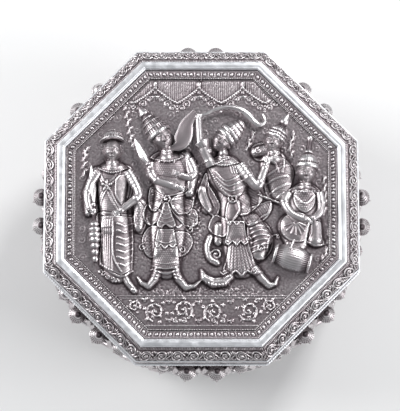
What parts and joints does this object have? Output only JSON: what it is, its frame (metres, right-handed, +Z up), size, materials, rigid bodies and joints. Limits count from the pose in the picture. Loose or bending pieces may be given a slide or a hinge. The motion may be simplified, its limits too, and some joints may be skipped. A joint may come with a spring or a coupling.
{
  "type": "lidded box",
  "caption": "Octagonal lidded box of chased sheet silver with high-relief figures on the walls and lid, a plain guiding neck and a lift-off lid.",
  "frame": {"origin": "centre of the box on the plane that it rests on", "axes": "+Z up, -Y to the front, which is the bottom edge of the lid's scene, +X to the right"},
  "size_m": [0.2184, 0.2184, 0.1235],
  "materials": {
    "chased_silver": "chased relief, oxidised in the recesses",
    "polished_silver": "polished, finely scratched",
    "plain_silver": "plain planished sheet"
  },
  "bodies": {
    "box": {"foot_ring": "chased_silver", "base_moulding": "chased_silver", "floor_plate": "plain_silver", "side_panel_front": "chased_silver", "side_panel_front_right": "chased_silver", "side_panel_right": "chased_silver", "side_panel_back_right": "chased_silver", "side_panel_back": "chased_silver", "side_panel_back_left": "chased_silver", "side_panel_left": "chased_silver", "side_panel_front_left": "chased_silver", "corner_post_1": "chased_silver", "corner_post_2": "chased_silver", "corner_post_3": "chased_silver", "corner_post_4": "chased_silver", "corner_post_5": "chased_silver", "corner_post_6": "chased_silver", "corner_post_7": "chased_silver", "corner_post_8": "chased_silver", "shoulder_moulding": "plain_silver", "neck_collar": "plain_silver"},
    "lid": {"skirt_foot_moulding": "polished_silver", "lid_skirt": "chased_silver", "rim_wire": "polished_silver", "scroll_border": "chased_silver", "polished_moulding": "polished_silver", "pearl_border": "chased_silver", "milled_wire": "polished_silver", "scene_plate": "chased_silver"}
  },
  "joints": [
    {"name": "lid_lift", "type": "slide", "parent": "box", "child": "lid", "axis": [0, 0, 1], "range_m": [0, 0.12]}
  ]
}
